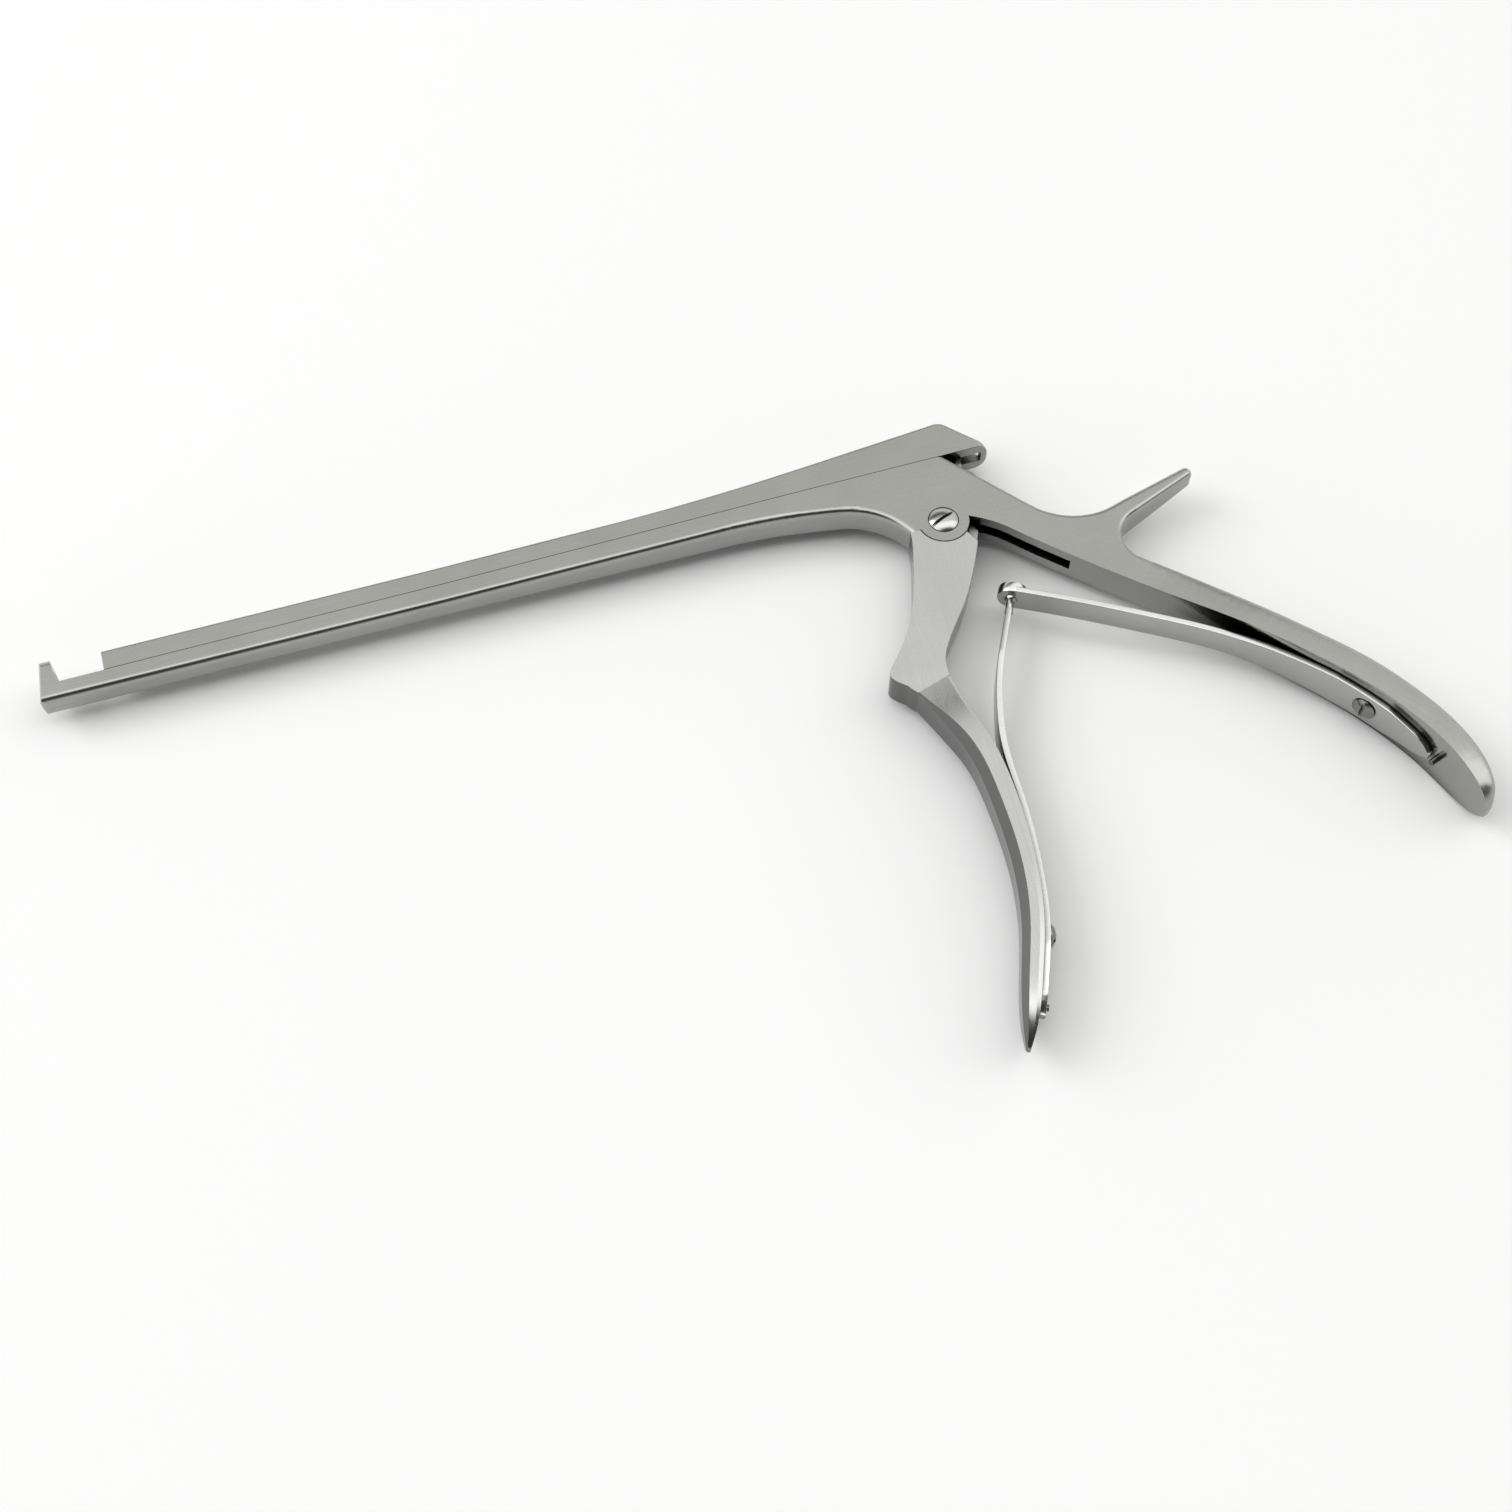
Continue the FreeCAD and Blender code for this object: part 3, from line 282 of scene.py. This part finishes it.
def curved_grain(graph, spot, centre):
    """Coordinates with their first axis along circles about a centre."""
    from_centre = graph.vector_maths("SUBTRACT", spot, (centre.x, centre.y, 0.0))
    axes = graph.axes(from_centre)
    angle = graph.maths("ARCTAN2", axes["Y"], axes["X"])
    along = graph.maths("MULTIPLY", angle, HANDLE_GRAIN_RADIUS * MM)
    radius = graph.vector_maths("LENGTH", graph.vector_maths("MULTIPLY", from_centre, ROUND_PIVOT))
    joined = graph.nodes.new("ShaderNodeCombineXYZ")
    graph.put(joined.inputs["X"], along)
    graph.put(joined.inputs["Y"], radius)
    graph.put(joined.inputs["Z"], axes["Z"])
    return joined.outputs[0]


def handle_grain(graph, spot, straight):
    """Straight brushing on the shaft and body that turns along the curved handle."""
    start = at(*HANDLE_GRAIN_START).x
    factor = graph.ranged(graph.axes(spot)["X"], (start, start + HANDLE_GRAIN_LENGTH * MM))
    return graph.mixed("VECTOR", factor, straight, curved_grain(graph, spot, at(*HANDLE_GRAIN_CENTRE)))


def painted_seam_shadow(graph, spot, measured, place, half_width):
    """Painted shadow along a narrow gap between parts, drawn darker and wider than the real gap: a circle
    about the pivot, or a line along the shaft.
    """
    apart = graph.vector_maths("MULTIPLY", graph.vector_maths("SUBTRACT", spot, PIVOT), measured)
    distance = graph.vector_maths("LENGTH", apart)
    beside = graph.maths("ABSOLUTE", graph.maths("SUBTRACT", distance, place * MM))
    edges = [half_width * MM * softness for softness in SEAM_SOFTNESS]
    return graph.ranged(beside, edges, SEAM_PAINTED_SHADOW, smooth=True)


def steel(name, flats, sides_painted_shade, satin, polish, direction=(1.0, 0.0), handle=False, circle=None, line=None):
    """Steel with brushed flats and polished side faces painted darker as painted shade, painted shade
    darkening its crevices, painted shadows along narrow gaps, and streaks along the brushing.
    """
    material = bpy.data.materials.new(name)
    material.use_nodes = True
    graph = Graph(material.node_tree)
    shader = graph.nodes["Principled BSDF"]
    shader.inputs["Metallic"].default_value = 1.0
    coordinates = graph.nodes.new("ShaderNodeTexCoord")
    spot = coordinates.outputs["Object"]
    grain = straight_grain(graph, spot, direction)
    if handle:
        grain = handle_grain(graph, spot, grain)
    stretch = graph.nodes.new("ShaderNodeMapping")
    stretch.inputs["Scale"].default_value = GRAIN_SCALE
    graph.put(stretch.inputs["Vector"], grain)
    streaks = graph.noise(stretch.outputs["Vector"], 1.0, NOISE_DETAIL)
    clouds = graph.noise(spot, CLOUD_SCALE, NOISE_DETAIL)
    upright = graph.maths("ABSOLUTE", graph.axes(coordinates.outputs["Normal"])["Z"])
    flat = graph.ranged(upright, FLAT_NORMALS, smooth=True)
    # Painted shade: ambient occlusion darkens the colour in crevices, in recesses and on walls near the
    # floor.
    crevices = graph.nodes.new("ShaderNodeAmbientOcclusion")
    crevices.samples = CREVICE_SAMPLES
    crevices.inputs["Distance"].default_value = CREVICE_DEPTH * MM

    # Side faces take the darker colour: painted shade standing in for mirrored dark surroundings.
    colour = graph.mixed("RGBA", flat, (*sides_painted_shade, 1.0), (*flats, 1.0))
    colour = graph.multiplied(colour, graph.ranged(streaks, NOISE_RANGE, STREAK_SHADE))
    colour = graph.multiplied(colour, graph.ranged(clouds, NOISE_RANGE, CLOUD_SHADE))
    colour = graph.multiplied(colour, graph.ranged(crevices.outputs["AO"], CREVICE_OPENNESS, CREVICE_PAINTED_SHADE))
    # Painted shadows along the gaps round the pivot screw and the trigger's boss, and along the slider's
    # joint line.
    if circle:
        colour = graph.multiplied(colour, painted_seam_shadow(graph, spot, ROUND_PIVOT, *circle))
    if line:
        dark = painted_seam_shadow(graph, spot, UP_FROM_PIVOT, *line)
        colour = graph.multiplied(colour, graph.mixed("FLOAT", flat, 1.0, dark))
    graph.put(shader.inputs["Base Color"], colour)

    finish = graph.ranged(flat, (0.0, 1.0), (polish, satin))
    rough = graph.maths("ADD", finish, graph.ranged(streaks, NOISE_RANGE, STREAK_ROUGHNESS))
    graph.put(shader.inputs["Roughness"], rough)

    height = graph.nodes.new("ShaderNodeBump")
    height.inputs["Strength"].default_value = STREAK_BUMP
    height.inputs["Distance"].default_value = STREAK_HEIGHT * MM
    graph.put(height.inputs["Height"], streaks)
    graph.put(shader.inputs["Normal"], height.outputs["Normal"])
    return material


def dress(node, material):
    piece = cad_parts[node]
    piece.data.materials.clear()
    piece.data.materials.append(material)


# Leaf springs: centre lines and half widths by distance along them, in millimetres from the pivot

LEAF_THICKNESS = 1.3
LEAF_EDGE = 0.14
LEAF_EDGE_SHARE = 0.6
LEAF_CORNERS = ((1, 1, 0), (-1, 1, 90), (-1, -1, 180), (1, -1, 270))
LEAF_CORNER_TURNS = (0, 30, 60, 90)
LEAF_RINGS = 150
SMOOTH_ANGLE = math.radians(35)
REAR_LINE = [
    (8.0, -20.4), (20.4, -27.4), (29.2, -32.8), (37.3, -37.9), (44.0, -42.5), (49.8, -47.2),
    (56.43, -53.73), (60.99, -58.98), (64.33, -63.4), (67.33, -68.01), (70.02, -72.76), (72.3, -77.5),
    (73.62, -80.84),
]
REAR_WIDTHS = [(0.0, 3.05), (46.0, 3.05), (68.0, 4.1), (80.0, 3.8), (87.5, 2.6), (89.5, 1.9), (90.8, 0.9)]
FRONT_LINE = [
    (6.3, -23.2), (2.0, -31.0), (-2.2, -39.5), (-4.9, -46.8), (-6.6, -53.0),
    (-7.72, -60.98), (-8.1, -66.05), (-8.64, -71.1), (-9.49, -77.13), (-10.73, -83.65),
    (-12.15, -89.7), (-13.93, -95.28), (-16.37, -101.23), (-18.63, -106.3), (-20.34, -110.02),
]
FRONT_WIDTHS = [(0.0, 0.85), (12.0, 2.4), (51.0, 3.7), (78.0, 3.9), (88.0, 2.7), (90.0, 1.9), (91.2, 0.9)]

# Ball and socket: profiles are (radius, distance along the axis)
BALL_CENTRE = (7.7, -20.6)
BALL_RADIUS = 1.35
BALL_STEPS = 15
BALL_FIRST_ANGLE = -52
BALL_SWEEP = 142
NECK_RADIUS = 0.85
NECK_START = -1.0
NECK_END_BEFORE_BALL = 1.05
AXIS_RADIUS = 0.01
SOCKET_PROFILE = [
    (AXIS_RADIUS, -0.65), (2.7, -0.65), (3.0, -0.58), (3.1, -0.35), (3.1, 1.45), (3.0, 1.75), (2.7, 1.93),
    (2.3, 1.93), (2.12, 1.85), (2.1, 1.6), (2.05, 0.3), (1.5, 0.0), (AXIS_RADIUS, -0.1),
]
SOCKET_SEGMENTS = 48
BALL_SEGMENTS = 32


def cubic_through(points, count):
    """Evenly spaced points and tangents on a natural cubic through the given points."""
    points = np.array(points, float)
    steps = np.hypot(*(points[1:] - points[:-1]).T)
    knots = np.concatenate([[0.0], np.cumsum(steps)])
    size = len(points)
    matrix = np.eye(size)
    right = np.zeros((size, 2))
    for i in range(1, size - 1):
        before, after = steps[i - 1], steps[i]
        matrix[i, i - 1:i + 2] = [before, 2 * (before + after), after]
        right[i] = 6 * ((points[i + 1] - points[i]) / after - (points[i] - points[i - 1]) / before)
    bend = np.linalg.solve(matrix, right)
    places = []
    for s in np.linspace(0.0, knots[-1], count):
        i = min(int(np.searchsorted(knots, s, side="right")) - 1, size - 2)
        step = steps[i]
        a = (knots[i + 1] - s) / step
        b = (s - knots[i]) / step
        value = a * points[i] + b * points[i + 1]
        value = value + ((a ** 3 - a) * bend[i] + (b ** 3 - b) * bend[i + 1]) * step ** 2 / 6
        slope = (points[i + 1] - points[i]) / step
        slope = slope + ((1 - 3 * a ** 2) * bend[i] + (3 * b ** 2 - 1) * bend[i + 1]) * step / 6
        slope = slope / np.hypot(*slope)
        places.append((s, value, slope))
    return places


def strip(name, line, widths, material):
    """A spring strip along a line, with softened edges."""
    half_thickness = LEAF_THICKNESS / 2
    mesh = bmesh.new()
    rings = []
    for s, place, slope in cubic_through(line, LEAF_RINGS):
        half = float(np.interp(s, [w[0] for w in widths], [w[1] for w in widths]))
        normal = np.array([-slope[1], slope[0]])
        soft = min(LEAF_EDGE, half * LEAF_EDGE_SHARE)
        ring = []
        for side_z, side_n, start in LEAF_CORNERS:
            for turn in LEAF_CORNER_TURNS:
                angle = math.radians(start + turn)
                z = side_z * (half - soft) + soft * math.cos(angle)
                n = side_n * (half_thickness - soft) + soft * math.sin(angle)
                spot = place + normal * n
                ring.append(mesh.verts.new(at(spot[0], spot[1], z)))
        rings.append(ring)
    skin(mesh, rings)
    return finish_mesh(mesh, name, material)


def skin(mesh, rings):
    """Faces between rings of points, and one at each end."""
    for first, second in zip(rings, rings[1:]):
        for i in range(len(first)):
            j = (i + 1) % len(first)
            mesh.faces.new((first[i], first[j], second[j], second[i]))
    mesh.faces.new(rings[0])
    mesh.faces.new(reversed(rings[-1]))


def finish_mesh(mesh, name, material):
    bmesh.ops.recalc_face_normals(mesh, faces=mesh.faces)
    data = bpy.data.meshes.new(name)
    mesh.to_mesh(data)
    mesh.free()
    for face in data.polygons:
        face.use_smooth = True
    data.set_sharp_from_angle(angle=SMOOTH_ANGLE)
    data.materials.append(material)
    piece = bpy.data.objects.new(name, data)
    bpy.context.scene.collection.objects.link(piece)
    return piece


def lathe(mesh, centre, axis, profile, segments):
    """Adds a turned shape, from a profile in millimetres."""
    axis = Vector(axis).normalized()
    across = axis.orthogonal().normalized()
    other = axis.cross(across)
    rings = []
    for radius, along in profile:
        ring = []
        for step in range(segments):
            angle = 2 * math.pi * step / segments
            out = (across * math.cos(angle) + other * math.sin(angle)) * radius
            ring.append(mesh.verts.new(centre + (out + axis * along) * MM))
        rings.append(ring)
    skin(mesh, rings)


def join(pieces, name):
    """One object out of several."""
    for other in bpy.context.selected_objects:
        other.select_set(False)
    for piece in pieces:
        piece.select_set(True)
    bpy.context.view_layer.objects.active = pieces[0]
    bpy.ops.object.join()
    pieces[0].name = name
    return pieces[0]


def rear_leaf(material):
    leaf = strip("rear_leaf", REAR_LINE, REAR_WIDTHS, material)
    mesh = bmesh.new()
    slope = cubic_through(REAR_LINE, 2)[0][2]
    lathe(mesh, at(*REAR_LINE[0]), (-slope[1], slope[0], 0.0), SOCKET_PROFILE, SOCKET_SEGMENTS)
    socket = finish_mesh(mesh, "rear_socket", material)
    whole = join([leaf, socket], "rear_leaf_spring")
    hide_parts("rear_spring_root", "rear_spring_arm")
    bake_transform(whole)


def front_leaf(material):
    leaf = strip("front_leaf", FRONT_LINE, FRONT_WIDTHS, material)
    mesh = bmesh.new()
    start = at(*FRONT_LINE[0])
    toward = at(*BALL_CENTRE) - start
    reach = toward.length / MM
    neck_end = reach - NECK_END_BEFORE_BALL
    profile = [(AXIS_RADIUS, NECK_START), (NECK_RADIUS, NECK_START), (NECK_RADIUS, neck_end)]
    for step in range(1, BALL_STEPS + 1):
        angle = math.radians(BALL_FIRST_ANGLE + step * BALL_SWEEP / BALL_STEPS)
        radius = max(BALL_RADIUS * math.cos(angle), AXIS_RADIUS)
        profile.append((radius, reach + BALL_RADIUS * math.sin(angle)))
    lathe(mesh, start, toward, profile, BALL_SEGMENTS)
    ball = finish_mesh(mesh, "front_ball", material)
    whole = join([leaf, ball], "front_leaf_spring")
    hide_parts("front_spring_root", "front_spring_arm")
    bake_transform(whole)


add_camera()
add_world()
add_floor()
add_lamp()

dress("frame", steel("frame_steel", FRAME_FLATS, FRAME_SIDES_PAINTED_SHADE, *SATIN, handle=True, circle=SCREW_SEAM_PAINTED_SHADOW))
dress("slider", steel("slider_steel", FRAME_FLATS, FRAME_SIDES_PAINTED_SHADE, *SATIN, line=SLIDER_SEAM_PAINTED_SHADOW))
blade = steel("trigger_steel", TRIGGER_FLATS, TRIGGER_SIDES_PAINTED_SHADE, *SATIN, ALONG_TRIGGER, circle=BOSS_SEAM_PAINTED_SHADOW)
dress("trigger", blade)
screw = steel("screw_steel", SCREW_FLATS, SCREW_SIDES_PAINTED_SHADE, *SCREW_FINISH, ACROSS_SCREW)
for node in ("pivot_screw", "rear_spring_screw", "front_spring_screw"):
    dress(node, screw)
pin = steel("pin_steel", PIN_FLATS, PIN_SIDES_PAINTED_SHADE, *PIN_FINISH)
for node in ("rear_spring_pin", "front_spring_pin", "slider_drive_pin"):
    dress(node, pin)
spring = steel("spring_steel", SPRING_FLATS_PAINTED_HIGHLIGHT, SPRING_SIDES_PAINTED_SHADE, *SPRING_FINISH, ALONG_SPRING)
rear_leaf(spring)
front_leaf(spring)

bpy.context.scene.view_settings.view_transform = "Standard"
